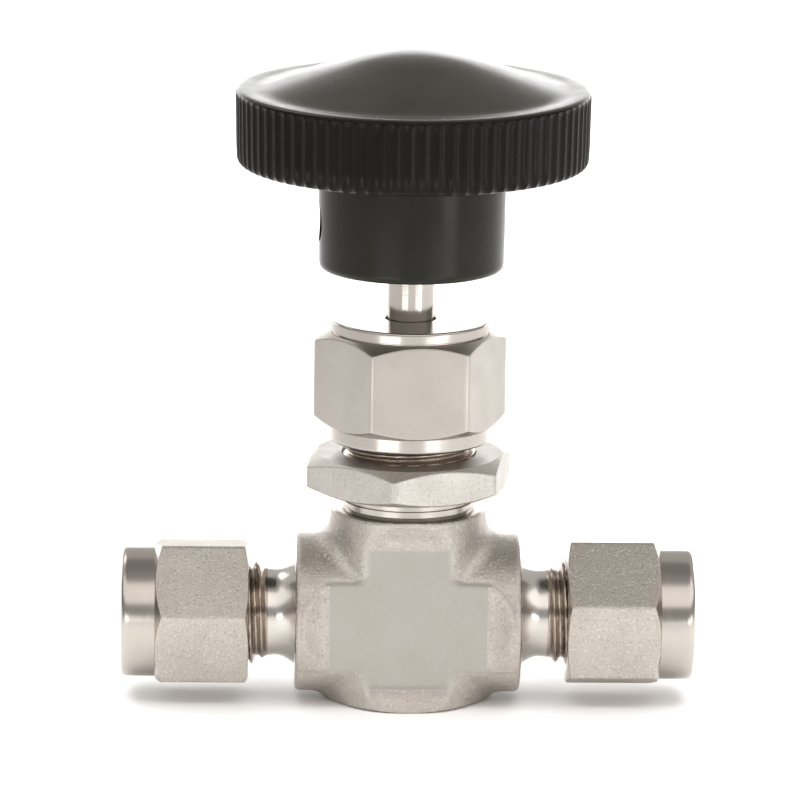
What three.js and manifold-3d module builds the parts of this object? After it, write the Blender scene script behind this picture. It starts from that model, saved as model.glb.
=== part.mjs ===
// Instrument needle valve with twin-ferrule tube fittings at both ends. Millimetres, +Z up.
//
// Every piece is drawn around the point where the stem axis (Z) crosses the flow axis (X).
// The whole valve is then raised, so that the flat underside of the body lies at z = 0.
// The needle is drawn lifted from its seat by OPEN_TURNS turns of the handle.

import * as THREE from 'three';
import { mergeVertices } from 'three/addons/utils/BufferGeometryUtils.js';
import Module from 'manifold-3d';

const wasm = await Module();
wasm.setup();

// ---- Driving dimensions -------------------------------------------------------------------

const OUTER_SEGMENTS = 40;
const INNER_SEGMENTS = 24;
const FAR = 60;                     // reaches past the valve in any direction
const GAP = 0.3;                    // between pieces that press on each other

// Stem drive
const STEM_PITCH = 0.907;           // 1/4-28 thread
const OPEN_TURNS = 4;
const LIFT = STEM_PITCH * OPEN_TURNS;
const STEM_R = 2.42;
const STEM_THREAD_R = 3.17;
const STEM_THREAD_BOTTOM = 3.97 + LIFT;
const STEM_THREAD_TOP = 13.27 + LIFT;
const STEM_TOP = 48.3;

// Body
const BODY_BOTTOM = -9;
const BARREL_R = 8.1;
const BARREL_TOP = 11.4;
const BOSS_R = 8.25;
const BOSS_END = 11.8;
const FLAT_Y = 6.7;                 // front and back flats of the forging
const FLAT_TOP = 9;
const FLAT_END = 8.8;
const FLAT_BOTTOM = -7.8;
const NECK_R = 6.93;                // M14 x 1 thread
const NECK_TOP = 26.4;
const STEM_BORE_R = 3.42;
const STEM_BORE_BOTTOM = 3.6;
const CHAMBER_R = 2.6;
const CHAMBER_BOTTOM = 2.2;
const SEAT_R = 1.4;
const SEAT_Z = 1.2;
const ORIFICE_BOTTOM = -3.8;
const PACKING_BORE_R = 4.6;
const PACKING_FLOOR = 17.9;
const PASSAGE_R = 1.2;

// Tube ends, measured along the flow axis from the stem axis
const TUBE_HOLE_R = 3.4;            // for 1/4 in (6.35 mm) tube
const TUBE_STOP = 14.9;
const PORT_BORE_R = 2.4;
const PORT_BORE_BOTTOM = 11.9;
const END_THREAD_R = 5.35;          // 7/16-20 thread
const END_FACE = 22.6;
const NUT_INNER = 16.6;
const NUT_HEX_END = 26.4;
const NUT_OUTER = 29.9;
const NUT_AF = 14.29;               // 9/16 in across flats
const NUT_BAND_R = 6.88;
const FERRULE_R = 3.25;
const INLET_NUT_TURN = 8.4;          // degrees, where each hexagon came to rest
const OUTLET_NUT_TURN = 17.8;

// Packing nut and panel nut
const PACKING_NUT_AF = 17.46;       // 11/16 in across flats
const PACKING_NUT_TURN = 24.6;
const PACKING_NUT_BOTTOM = 18.7;
const PACKING_NUT_HEX_BOTTOM = 20.3;
const PACKING_NUT_HEX_TOP = 30.25;
const PACKING_NUT_TOP = 31.55;
const PACKING_NUT_ROOF = 28.3;
const DISC_R = 8.35;
const COLLAR_R = 8.42;
const NUT_THREAD_R = 7.2;
const PANEL_NUT_AF = 19.9;
const PANEL_NUT_TURN = 9.5;
const PANEL_NUT_BOTTOM = 13.5;
const PANEL_NUT_TOP = 17.3;

// Handle
const RIM_R = 18.45;
const RIM_TOP = 55.7;
const RIM_BOTTOM = 47.8;
const DOME_R = 16.6;
const DOME_RISE = 4.35;
const HUB_R = 9.65;
const HUB_BOTTOM = 36.9;
const INSERT_R = 4.4;
const INSERT_BOTTOM = 37.9;
const INSERT_TOP = 48.6;
const HANDLE_BORE_TOP = 48.9;
const SCREW_Z = 41.7;
const SCREW_R = 1.7;
const SCREW_HOLE_R = 1.9;
const SCREW_TURN = 182;             // degrees about the stem axis

// ---- Materials ----------------------------------------------------------------------------

const forgedSteel = new THREE.MeshStandardMaterial({ color: 0xc4bdb4, roughness: 0.45, metalness: 1 });
const turnedSteel = new THREE.MeshStandardMaterial({ color: 0xd0cac3, roughness: 0.22, metalness: 1 });
const polishedSteel = new THREE.MeshStandardMaterial({ color: 0xd6d1cb, roughness: 0.12, metalness: 1 });
const ptfe = new THREE.MeshStandardMaterial({ color: 0xf1efe8, roughness: 0.5, metalness: 0 });
const brass = new THREE.MeshStandardMaterial({ color: 0xc8a45c, roughness: 0.3, metalness: 1 });
const phenolic = new THREE.MeshStandardMaterial({ color: 0x1d1b19, roughness: 0.25, metalness: 0 });

// ---- Shape helpers ------------------------------------------------------------------------

// Six times the volume that a triangle list encloses, negative if its faces point inwards.
function signedVolume(positions, indices) {
  const [a, b, c] = [new THREE.Vector3(), new THREE.Vector3(), new THREE.Vector3()];
  let sum = 0;
  for (let i = 0; i < indices.length; i += 3) {
    a.fromArray(positions, 3 * indices[i]);
    b.fromArray(positions, 3 * indices[i + 1]);
    c.fromArray(positions, 3 * indices[i + 2]);
    sum += a.dot(b.cross(c));
  }
  return sum;
}

// A closed geometry as a manifold solid with its faces pointing out.
function solid(geometry) {
  geometry.deleteAttribute('normal');
  geometry.deleteAttribute('uv');
  const merged = mergeVertices(geometry, 1e-4);
  const positions = merged.attributes.position.array;
  const source = merged.index.array;
  const kept = [];
  for (let i = 0; i < source.length; i += 3) {
    const [a, b, c] = [source[i], source[i + 1], source[i + 2]];
    if (a !== b && b !== c && c !== a) kept.push(a, b, c);
  }
  if (signedVolume(positions, kept) < 0) kept.reverse();
  const mesh = new wasm.Mesh({ numProp: 3, vertProperties: positions, triVerts: new Uint32Array(kept) });
  return new wasm.Manifold(mesh);
}

// A profile of [radius, height] points, turned about Z.
function turnedGeometry(profile, segments) {
  const points = profile.map(([radius, height]) => new THREE.Vector2(radius, height));
  return new THREE.LatheGeometry(points, segments).rotateX(Math.PI / 2);
}

function turned(profile, segments = OUTER_SEGMENTS) {
  return solid(turnedGeometry(profile, segments));
}

// The same, turned about X. Heights run outwards along +X (side 1) or -X (side -1).
function turnedAlongX(profile, side, segments = OUTER_SEGMENTS) {
  return solid(turnedGeometry(profile, segments).rotateY(side * Math.PI / 2));
}

// A ring's profile closes on itself.
function ring(points) {
  return [...points, points[0]];
}

function rod(radius, bottom, top) {
  return [[0, bottom], [radius, bottom], [radius, top], [0, top]];
}

// A round passage between two points.
function passage(radius, from, to) {
  const start = new THREE.Vector3(...from);
  const run = new THREE.Vector3(...to).sub(start);
  const turn = new THREE.Quaternion().setFromUnitVectors(new THREE.Vector3(0, 1, 0), run.clone().normalize());
  const geometry = new THREE.CylinderGeometry(radius, radius, run.length(), INNER_SEGMENTS);
  geometry.applyQuaternion(turn);
  geometry.translate(...start.addScaledVector(run, 0.5).toArray());
  return solid(geometry);
}

function block(low, high) {
  const geometry = new THREE.BoxGeometry(high[0] - low[0], high[1] - low[1], high[2] - low[2]);
  geometry.translate((low[0] + high[0]) / 2, (low[1] + high[1]) / 2, (low[2] + high[2]) / 2);
  return solid(geometry);
}

// A hexagonal prism about Z. One corner points to -Y, then turns by `turn` degrees.
function hexGeometry(acrossFlats, turn, bottom, top) {
  const corner = acrossFlats / Math.sqrt(3);
  const shape = new THREE.Shape();
  for (let side = 0; side < 6; side += 1) {
    const angle = THREE.MathUtils.degToRad(turn - 90 + 60 * side);
    const point = [corner * Math.cos(angle), corner * Math.sin(angle)];
    if (side === 0) shape.moveTo(...point);
    else shape.lineTo(...point);
  }
  shape.closePath();
  const geometry = new THREE.ExtrudeGeometry(shape, { depth: top - bottom, bevelEnabled: false });
  return geometry.translate(0, 0, bottom);
}

// The turned shape that chamfers a hexagon's corners at both ends.
function chamferProfile(acrossFlats, bottom, top, slope, flatPart = 0.97) {
  const face = (acrossFlats / 2) * flatPart;
  const wide = acrossFlats / Math.sqrt(3) + 0.1;
  const drop = (wide - face) * slope;
  return [[0, bottom], [face, bottom], [wide, bottom + drop], [wide, top - drop], [face, top], [0, top]];
}

function named(name, shape, material) {
  const mesh = shape.getMesh();
  const geometry = new THREE.BufferGeometry();
  geometry.setAttribute('position', new THREE.BufferAttribute(new Float32Array(mesh.vertProperties), 3));
  geometry.setIndex(new THREE.BufferAttribute(new Uint32Array(mesh.triVerts), 1));
  geometry.computeVertexNormals();
  const part = new THREE.Mesh(geometry, material);
  part.name = name;
  return part;
}

// ---- Body ---------------------------------------------------------------------------------

function tubeEnd(side) {
  const outside = turnedAlongX([
    [0, 0], [BOSS_R, 0], [BOSS_R, BOSS_END - 0.5], [BOSS_R - 0.5, BOSS_END],
    [5.4, BOSS_END], [5, 12.3], [4.5, 13.3], [4.5, 14.7], [END_THREAD_R, 15.3],
    [END_THREAD_R, END_FACE - 0.3], [END_THREAD_R - 0.3, END_FACE], [0, END_FACE],
  ], side);
  return outside;
}

function tubeSocket(side) {
  return turnedAlongX([
    [0, PORT_BORE_BOTTOM], [PORT_BORE_R, PORT_BORE_BOTTOM], [PORT_BORE_R, TUBE_STOP],
    [TUBE_HOLE_R, TUBE_STOP], [TUBE_HOLE_R, 20.4], [4.35, END_FACE], [4.35, FAR], [0, FAR],
  ], side, INNER_SEGMENTS);
}

function bodyOutside() {
  const barrel = turned([
    [0, BODY_BOTTOM], [BARREL_R - 0.8, BODY_BOTTOM], [BARREL_R, BODY_BOTTOM + 0.8],
    [BARREL_R, BARREL_TOP - 0.25], [BARREL_R - 0.25, BARREL_TOP],
    [NECK_R, BARREL_TOP], [NECK_R, NECK_TOP - 0.5], [NECK_R - 0.5, NECK_TOP], [0, NECK_TOP],
  ]);
  let shape = barrel.add(tubeEnd(1)).add(tubeEnd(-1));
  for (const side of [1, -1]) {
    const near = side * FLAT_Y;
    const far = side * FAR;
    const low = [-FLAT_END, Math.min(near, far), FLAT_BOTTOM];
    const high = [FLAT_END, Math.max(near, far), FLAT_TOP];
    shape = shape.subtract(block(low, high));
  }
  return shape;
}

function bodyInside() {
  const stemBore = turned([
    [0, ORIFICE_BOTTOM - 0.6], [SEAT_R, ORIFICE_BOTTOM], [SEAT_R, SEAT_Z],
    [CHAMBER_R, CHAMBER_BOTTOM], [CHAMBER_R, STEM_BORE_BOTTOM],
    [STEM_BORE_R, STEM_BORE_BOTTOM], [STEM_BORE_R, PACKING_FLOOR],
    [PACKING_BORE_R, PACKING_FLOOR], [PACKING_BORE_R, FAR], [0, FAR],
  ], INNER_SEGMENTS);
  const inletPassage = passage(PASSAGE_R, [-PORT_BORE_BOTTOM - 1, 0, 0], [0, 0, -2.6]);
  const outletPassage = passage(PASSAGE_R, [PORT_BORE_BOTTOM + 1, 0, 0], [1, 0, 3.4]);
  return stemBore.add(inletPassage).add(outletPassage).add(tubeSocket(1)).add(tubeSocket(-1));
}

const body = named('body', bodyOutside().subtract(bodyInside()), forgedSteel);

// ---- Stem packing, gland and the two large nuts -------------------------------------------

const packingWasher = named('packing_washer', turned(ring([
  [2.6, 18.2], [4.45, 18.2], [4.45, 19], [2.6, 19],
]), INNER_SEGMENTS), turnedSteel);

// A packing ring, flat or V-shaped on its lower and upper sides.
function packingRing(name, edgeBottom, middleBottom, edgeTop, middleTop) {
  const [inner, middle, outer] = [2.56, 3.5, 4.45];
  const profile = ring([
    [inner, edgeBottom], [middle, middleBottom], [outer, edgeBottom],
    [outer, edgeTop], [middle, middleTop], [inner, edgeTop],
  ]);
  return named(name, turned(profile, INNER_SEGMENTS), ptfe);
}

const lowerPacking = packingRing('lower_packing', 19.3, 19.3, 20.1, 20.9);
const middlePacking = packingRing('middle_packing', 20.4, 21.2, 21.6, 22.4);
const upperPacking = packingRing('upper_packing', 21.9, 22.7, 24, 24);

const packingGland = named('packing_gland', turned(ring([
  [2.6, 24.3], [4.4, 24.3], [4.4, 26.8], [5.8, 26.8], [5.8, 28], [2.6, 28],
]), INNER_SEGMENTS), turnedSteel);

function packingNutShape() {
  const hexagon = solid(hexGeometry(
    PACKING_NUT_AF, -PACKING_NUT_TURN, PACKING_NUT_HEX_BOTTOM, PACKING_NUT_HEX_TOP,
  ));
  const chamfer = turned(chamferProfile(
    PACKING_NUT_AF, PACKING_NUT_HEX_BOTTOM, PACKING_NUT_HEX_TOP, 0.65,
  ));
  const disc = turned([
    [0, 29], [DISC_R - 0.3, 29], [DISC_R - 0.3, 30.4], [DISC_R, 30.4],
    [DISC_R, PACKING_NUT_TOP - 0.2], [DISC_R - 0.2, PACKING_NUT_TOP], [0, PACKING_NUT_TOP],
  ]);
  const collar = turned([
    [0, PACKING_NUT_BOTTOM], [COLLAR_R - 0.3, PACKING_NUT_BOTTOM], [COLLAR_R, PACKING_NUT_BOTTOM + 0.4],
    [COLLAR_R, 21], [0, 21],
  ]);
  const bore = turned([
    [0, PACKING_NUT_BOTTOM - 1], [NUT_THREAD_R, PACKING_NUT_BOTTOM - 1],
    [NUT_THREAD_R, PACKING_NUT_ROOF], [2.65, PACKING_NUT_ROOF], [2.65, FAR], [0, FAR],
  ]);
  return hexagon.intersect(chamfer).add(disc).add(collar).subtract(bore);
}

const packingNut = named('packing_nut', packingNutShape(), turnedSteel);

function panelNutShape() {
  const hexagon = solid(hexGeometry(PANEL_NUT_AF, -PANEL_NUT_TURN, PANEL_NUT_BOTTOM, PANEL_NUT_TOP));
  const chamfer = turned(chamferProfile(PANEL_NUT_AF, PANEL_NUT_BOTTOM, PANEL_NUT_TOP, 0.47));
  const bore = turned(rod(NUT_THREAD_R, PANEL_NUT_BOTTOM - 1, PANEL_NUT_TOP + 1));
  return hexagon.intersect(chamfer).subtract(bore);
}

const panelNut = named('panel_nut', panelNutShape(), forgedSteel);

// ---- Stem, needle and the ring that joins them --------------------------------------------

const TIP_SOCKET_R = 1.5;
const TIP_SOCKET_TOP = STEM_THREAD_BOTTOM + 4.4;
const RING_GROOVE = STEM_THREAD_BOTTOM + 2.2;

function stemShape() {
  const outside = turned([
    [0, STEM_THREAD_BOTTOM], [STEM_THREAD_R - 0.3, STEM_THREAD_BOTTOM],
    [STEM_THREAD_R, STEM_THREAD_BOTTOM + 0.3], [STEM_THREAD_R, STEM_THREAD_TOP - 0.3],
    [STEM_THREAD_R - 0.3, STEM_THREAD_TOP], [STEM_R, STEM_THREAD_TOP],
    [STEM_R, STEM_TOP - 0.4], [STEM_R - 0.4, STEM_TOP], [0, STEM_TOP],
  ]);
  const socket = turned([
    [0, STEM_THREAD_BOTTOM - 1], [TIP_SOCKET_R, STEM_THREAD_BOTTOM - 1],
    [TIP_SOCKET_R, RING_GROOVE], [1.95, RING_GROOVE], [1.95, RING_GROOVE + 0.8],
    [TIP_SOCKET_R, RING_GROOVE + 0.8], [TIP_SOCKET_R, TIP_SOCKET_TOP], [0, TIP_SOCKET_TOP],
  ], INNER_SEGMENTS);
  return outside.subtract(socket);
}

const stem = named('stem', stemShape(), polishedSteel);

function needleShape() {
  const collarBottom = STEM_THREAD_BOTTOM - 1.27;
  const collarTop = collarBottom + 1;
  return turned([
    [0, collarBottom - 3.2], [0.3, collarBottom - 3.2], [2.2, collarBottom],
    [2.2, collarTop], [1.3, collarTop], [1.3, RING_GROOVE + 0.1],
    [0.95, RING_GROOVE + 0.1], [0.95, RING_GROOVE + 0.7], [1.3, RING_GROOVE + 0.7],
    [1.3, TIP_SOCKET_TOP - GAP], [0, TIP_SOCKET_TOP - GAP],
  ], INNER_SEGMENTS);
}

const needleTip = named('needle_tip', needleShape(), turnedSteel);

function retainingRingShape() {
  const whole = turned(ring([
    [1.08, RING_GROOVE + 0.2], [1.8, RING_GROOVE + 0.2],
    [1.8, RING_GROOVE + 0.6], [1.08, RING_GROOVE + 0.6],
  ]), INNER_SEGMENTS);
  return whole.subtract(block([0, -0.35, RING_GROOVE], [3, 0.35, RING_GROOVE + 1]));
}

const tipRetainingRing = named('tip_retaining_ring', retainingRingShape(), polishedSteel);

// ---- Handle -------------------------------------------------------------------------------

// The bell-shaped top, from inside the rim up to the middle.
function domeProfile() {
  const steps = 9;
  const points = [];
  for (let step = 1; step <= steps; step += 1) {
    const radius = DOME_R * (1 - step / steps);
    const rise = Math.cos((Math.PI / 2) * (radius / DOME_R)) ** 2;
    points.push([radius, RIM_TOP - 0.55 + DOME_RISE * rise]);
  }
  return points;
}

// A round hole along the set screw's axis.
function screwHole(radius, from, to) {
  const angle = THREE.MathUtils.degToRad(SCREW_TURN);
  const [x, y] = [Math.cos(angle), Math.sin(angle)];
  return passage(radius, [from * x, from * y, SCREW_Z], [to * x, to * y, SCREW_Z]);
}

function handleShape() {
  const outside = turned([
    [0, HUB_BOTTOM], [HUB_R - 0.95, HUB_BOTTOM], [HUB_R - 0.3, HUB_BOTTOM + 0.25],
    [HUB_R, HUB_BOTTOM + 0.9], [HUB_R + 0.1, RIM_BOTTOM - 0.8], [HUB_R + 0.9, RIM_BOTTOM],
    [RIM_R - 0.85, RIM_BOTTOM], [RIM_R - 0.15, RIM_BOTTOM + 0.8],
    [RIM_R, RIM_TOP - 0.6], [RIM_R - 0.35, RIM_TOP], [RIM_R - 0.85, RIM_TOP],
    [DOME_R, RIM_TOP - 0.55], ...domeProfile(),
  ]);
  const bore = turned(rod(INSERT_R + GAP, HUB_BOTTOM - 1, HANDLE_BORE_TOP));
  return outside.subtract(bore).subtract(screwHole(SCREW_HOLE_R, 3, HUB_R + 2));
}

const handle = named('handle', handleShape(), phenolic);

function insertShape() {
  const bush = turned(ring([
    [STEM_R + 0.2, INSERT_BOTTOM], [INSERT_R, INSERT_BOTTOM],
    [INSERT_R, INSERT_TOP], [STEM_R + 0.2, INSERT_TOP],
  ]));
  return bush.subtract(screwHole(SCREW_HOLE_R, 1.5, HUB_R));
}

const handleInsert = named('handle_insert', insertShape(), brass);

function setScrewShape() {
  const shank = screwHole(SCREW_R, STEM_R + GAP, 8.9);
  const angle = THREE.MathUtils.degToRad(SCREW_TURN);
  const socket = solid(hexGeometry(2, 0, 7, FAR).rotateY(Math.PI / 2).rotateZ(angle).translate(0, 0, SCREW_Z));
  return shank.subtract(socket);
}

const handleSetScrew = named('handle_set_screw', setScrewShape(), turnedSteel);

// ---- Tube nuts and ferrules ---------------------------------------------------------------

function frontFerruleShape(side) {
  return turnedAlongX(ring([
    [FERRULE_R, 20.9], [FERRULE_R + 0.17, 20.9], [4.1, 22.6], [4.35, 22.9],
    [4.35, 24], [3.9, 24], [FERRULE_R, 23.5],
  ]), side, INNER_SEGMENTS);
}

function backFerruleShape(side) {
  return turnedAlongX(ring([
    [FERRULE_R, 23.75], [3.75, 24.2], [3.8, 24.5], [4.35, 24.5],
    [4.35, 25.6], [4, 25.9], [FERRULE_R, 25.9],
  ]), side, INNER_SEGMENTS);
}

function tubeNutShape(side, turn) {
  const hexGeometryAlongX = hexGeometry(NUT_AF, 0, NUT_INNER, NUT_HEX_END);
  const startTurn = THREE.MathUtils.degToRad(turn);
  const hexagon = solid(hexGeometryAlongX.rotateY(side * Math.PI / 2).rotateX(-startTurn));
  const chamfer = turnedAlongX(chamferProfile(NUT_AF, NUT_INNER, NUT_HEX_END, 0.58), side);
  const band = turnedAlongX([
    [0, NUT_HEX_END - 1], [NUT_BAND_R, NUT_HEX_END - 1], [NUT_BAND_R, NUT_OUTER - 0.5],
    [NUT_BAND_R - 0.5, NUT_OUTER], [0, NUT_OUTER],
  ], side);
  const inside = turnedAlongX([
    [0, NUT_INNER - 1], [END_THREAD_R + GAP, NUT_INNER - 1], [END_THREAD_R + GAP, 23.2],
    [4.7, 24.2], [4.7, 25.9], [TUBE_HOLE_R, 26.6], [TUBE_HOLE_R, FAR], [0, FAR],
  ], side, INNER_SEGMENTS);
  return hexagon.intersect(chamfer).add(band).subtract(inside);
}

function tubeFitting(prefix, side, turn) {
  return [
    named(`${prefix}_front_ferrule`, frontFerruleShape(side), turnedSteel),
    named(`${prefix}_back_ferrule`, backFerruleShape(side), turnedSteel),
    named(`${prefix}_nut`, tubeNutShape(side, turn), turnedSteel),
  ];
}

// ---- Assembly -----------------------------------------------------------------------------

const valve = new THREE.Group();
valve.position.z = -BODY_BOTTOM;
valve.add(body, panelNut);
valve.add(packingWasher, lowerPacking, middlePacking, upperPacking, packingGland, packingNut);
valve.add(needleTip, stem, tipRetainingRing, handle, handleInsert, handleSetScrew);
valve.add(...tubeFitting('inlet', -1, INLET_NUT_TURN));
valve.add(...tubeFitting('outlet', 1, OUTLET_NUT_TURN));

const object = new THREE.Group();
object.add(valve);

export default object;
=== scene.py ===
"""Needle valve: the visible pieces and their materials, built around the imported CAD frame.

Shapes are written in millimetres from the valve's centre, where the stem axis (Z) crosses the
flow axis (X), and are moved to the row frame when their meshes are made.
"""

import math

import bmesh
import bpy
import numpy as np
from mathutils import Matrix, Vector


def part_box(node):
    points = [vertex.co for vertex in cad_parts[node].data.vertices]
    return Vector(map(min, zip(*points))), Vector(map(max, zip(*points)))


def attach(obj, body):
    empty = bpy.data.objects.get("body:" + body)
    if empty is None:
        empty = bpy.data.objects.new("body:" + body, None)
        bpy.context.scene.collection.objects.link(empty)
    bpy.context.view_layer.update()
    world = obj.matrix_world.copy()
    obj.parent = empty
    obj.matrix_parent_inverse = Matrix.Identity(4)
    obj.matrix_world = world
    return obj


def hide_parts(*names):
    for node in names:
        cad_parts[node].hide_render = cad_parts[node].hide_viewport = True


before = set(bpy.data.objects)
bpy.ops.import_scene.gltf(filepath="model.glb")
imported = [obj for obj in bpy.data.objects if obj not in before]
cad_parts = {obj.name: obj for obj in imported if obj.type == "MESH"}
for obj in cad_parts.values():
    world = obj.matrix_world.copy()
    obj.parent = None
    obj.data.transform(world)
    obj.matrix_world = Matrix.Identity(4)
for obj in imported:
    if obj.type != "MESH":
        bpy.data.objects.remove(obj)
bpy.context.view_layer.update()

MM = 0.001
SHARP_ANGLE = math.radians(38)


def box_centre(node):
    low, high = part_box(node)
    return (low + high) / 2


CENTRE = Vector((0, 0, box_centre("inlet_back_ferrule").z))

# ---- Driving dimensions, in millimetres, and turns in degrees ---------------------------------

BARREL_R = 8.1
BARREL_BOTTOM = -9.0
BARREL_TOP = 11.4
BOSS_R = 8.25
BOSS_END = 11.8
FLAT_Y = 6.7
FLAT_TOP = 9.0
FLAT_END = 8.8
FLAT_BOTTOM = -6.0      # from here down the pad swells gently out to the barrel
FILLET_AT_MIDDLE = 2.6
FILLET_AT_FLATS = 0.7
NECK_RING_R = 6.9
NECK_THREAD_R = 6.93
NECK_THREAD_START = 13.3
NECK_TOP = 26.4
PACKING_BORE_R = 4.6
PACKING_FLOOR = 17.9
STEM_BORE_R = 3.42
STEM_BORE_BOTTOM = 3.6
CHAMBER_R = 2.6
SEAT_R = 1.4
SEAT_Z = 1.2
ORIFICE_BOTTOM = -3.8
PASSAGE_R = 1.2
END_THREAD_R = 5.5
END_FACE = 22.6
END_THREAD_START = 14.6
WAIST_R = 4.58
FLARE_GROWTH = 0.95
FLARE_LENGTH = 2.0
TUBE_HOLE_R = 3.4
TUBE_STOP = 14.9
PORT_BORE_R = 2.4
NECK_PITCH = 1.0
END_PITCH = 1.27

NUT_AF = 14.29
NUT_INNER = 16.6
NUT_HEX_END = 26.4
NUT_OUTER = 29.9
NUT_BAND_R = 6.88
INLET_NUT_LIFT = 8.4    # how far its front corner is turned up from level
OUTLET_NUT_LIFT = 17.8

PACKING_NUT_AF = 17.55
PACKING_NUT_TURN = -24.6
PACKING_NUT_BOTTOM = 18.7
PACKING_NUT_HEX_BOTTOM = 20.3
PACKING_NUT_HEX_TOP = 30.25
PACKING_NUT_TOP = 31.55
COLLAR_R = 8.42
DISC_R = 8.35
NUT_THREAD_R = 7.2

PANEL_NUT_AF = 19.9
PANEL_NUT_TURN = -9.5
PANEL_NUT_BOTTOM = 13.5
PANEL_NUT_TOP = 17.3
PANEL_NUT_BORE_R = 7.0

STEM_R = 2.42
STEM_THREAD_R = 3.17
STEM_PITCH = 0.907
LIFT = 4 * STEM_PITCH
STEM_BOTTOM = 3.97 + LIFT
STEM_THREAD_TOP = 13.27 + LIFT
STEM_TOP = 48.3

RIBS = 80
RIB_DEPTH = 0.26
RIM_R = 18.42
RIM_TOP = 55.7
RIM_BOTTOM = 47.8
DOME_R = 16.5
DOME_RISE = 3.93
HUB_R = 9.6
HUB_BOTTOM = 36.9
HUB_HOLE_R = 4.7
HUB_HOLE_TOP = 48.9

SCREW_TURN = 182
SCREW_HEIGHT = 41.7
SCREW_R = 1.7
SCREW_TIP = 2.75
SCREW_FACE = 8.9
SCREW_SOCKET_AF = 2.0
SCREW_HOLE_R = 1.9


# ---- Node materials -------------------------------------------------------------------------

class Nodes:
    """The node tree of a new material or world, with short calls for the nodes used here."""

    def __init__(self, owner, coordinates="Object"):
        owner.use_nodes = True
        self.owner = owner
        self.tree = owner.node_tree
        self.position = self.tree.nodes.new("ShaderNodeTexCoord").outputs[coordinates]

    def put(self, kind, **links):
        node = self.tree.nodes.new(kind)
        for key, value in links.items():
            self.feed(node, key.replace("_", " "), value)
        return node

    def feed(self, node, socket, value):
        target = node.inputs[int(socket)] if str(socket).isdigit() else node.inputs[socket]
        if isinstance(value, bpy.types.NodeSocket):
            self.tree.links.new(value, target)
        else:
            target.default_value = value

    def noise(self, scale, detail=2.0, roughness=0.5, vector=None):
        node = self.put("ShaderNodeTexNoise", Vector=vector or self.position, Scale=scale,
                        Detail=detail, Roughness=roughness)
        return node.outputs["Fac"]

    def ramp(self, factor, low, high, to_low=0.0, to_high=1.0):
        node = self.put("ShaderNodeMapRange", Value=factor, From_Min=low, From_Max=high,
                        To_Min=to_low, To_Max=to_high)
        return node.outputs["Result"]

    def math(self, operation, first, second=0.0):
        node = self.tree.nodes.new("ShaderNodeMath")
        node.operation = operation
        self.feed(node, 0, first)
        self.feed(node, 1, second)
        return node.outputs[0]

    def mix(self, factor, first, second):
        """Mixes two colours, which are the node's inputs 6 and 7 and its output 2."""
        node = self.tree.nodes.new("ShaderNodeMix")
        node.data_type = "RGBA"
        self.feed(node, 0, factor)
        self.feed(node, 6, first)
        self.feed(node, 7, second)
        return node.outputs[2]

    def bump(self, height, distance_mm, strength=1.0, normal=None):
        node = self.put("ShaderNodeBump", Height=height, Strength=strength, Distance=distance_mm * MM)
        if normal is not None:
            self.feed(node, "Normal", normal)
        return node.outputs["Normal"]

    def axis_parts(self):
        node = self.put("ShaderNodeSeparateXYZ", Vector=self.position)
        return node.outputs

    def finish(self, **values):
        shader = self.tree.nodes["Principled BSDF"]
        for key, value in values.items():
            self.feed(shader, key.replace("_", " "), value)
        return self.owner


def new_material(name):
    return Nodes(bpy.data.materials.new(name))


STEEL_WARM = (0.53, 0.49, 0.45, 1)
STEEL_LIGHT = (0.70, 0.66, 0.61, 1)
# A lighter steel for the tube ends and boss ends: painted light, so their window highlight comes out
# brighter.
STEEL_PAINTED_LIGHT = (0.68, 0.645, 0.605, 1)
STEEL_PALE = (0.58, 0.555, 0.52, 1)
STEEL_NUT = (0.55, 0.51, 0.46, 1)
STEEL_PAD = (0.44, 0.42, 0.385, 1)
STEEL_DARK = (0.41, 0.37, 0.33, 1)
# Darker brown steel for the threads: painted shade, for the shade between the nuts and in the thread
# grooves.
STEEL_THREAD_PAINTED_SHADE = (0.42, 0.36, 0.31, 1)
PHENOLIC_DUST = (0.10, 0.09, 0.08, 1)
BRASS_CLEAN = (0.62, 0.43, 0.17, 1)
BRASS_STAINED = (0.40, 0.26, 0.10, 1)
PTFE_CLEAN = (0.90, 0.89, 0.85, 1)
PTFE_SHADED = (0.80, 0.79, 0.74, 1)


def blasted_steel(name, grain_mm, grain_height, speckle, rough, shade=STEEL_WARM):
    """Stainless steel with small raised grains, as a blasted or tumbled surface has; the raised grains are
    coloured lighter as painted glints that sparkle, and the hollows darker as painted shade.
    """
    m = new_material(name)
    grain = m.noise(1 / (grain_mm * MM), 1, 0.5)
    fine = m.noise(1 / (0.1 * MM), 2, 0.6)
    patches = m.noise(1 / (3.5 * MM), 3, 0.5)
    flecks_and_painted_glints = m.ramp(grain, 0.58, 0.70)
    pits_and_painted_shade = m.ramp(grain, 0.40, 0.30)
    colour = m.mix(m.ramp(patches, 0.35, 0.75, 0, 0.3), shade, STEEL_DARK)
    # Painted glints on the raised grains and painted shade in the hollows between them.
    colour = m.mix(m.math("MULTIPLY", flecks_and_painted_glints, speckle), colour, STEEL_LIGHT)
    colour = m.mix(m.math("MULTIPLY", pits_and_painted_shade, speckle), colour, STEEL_DARK)
    normal = m.bump(m.math("SUBTRACT", flecks_and_painted_glints, pits_and_painted_shade), grain_height)
    normal = m.bump(fine, 0.006, 0.5, normal)
    roughness = m.ramp(m.math("ADD", fine, patches), 0.7, 1.3, *rough)
    return m.finish(Base_Color=colour, Metallic=1.0, Roughness=roughness, Normal=normal)


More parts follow.
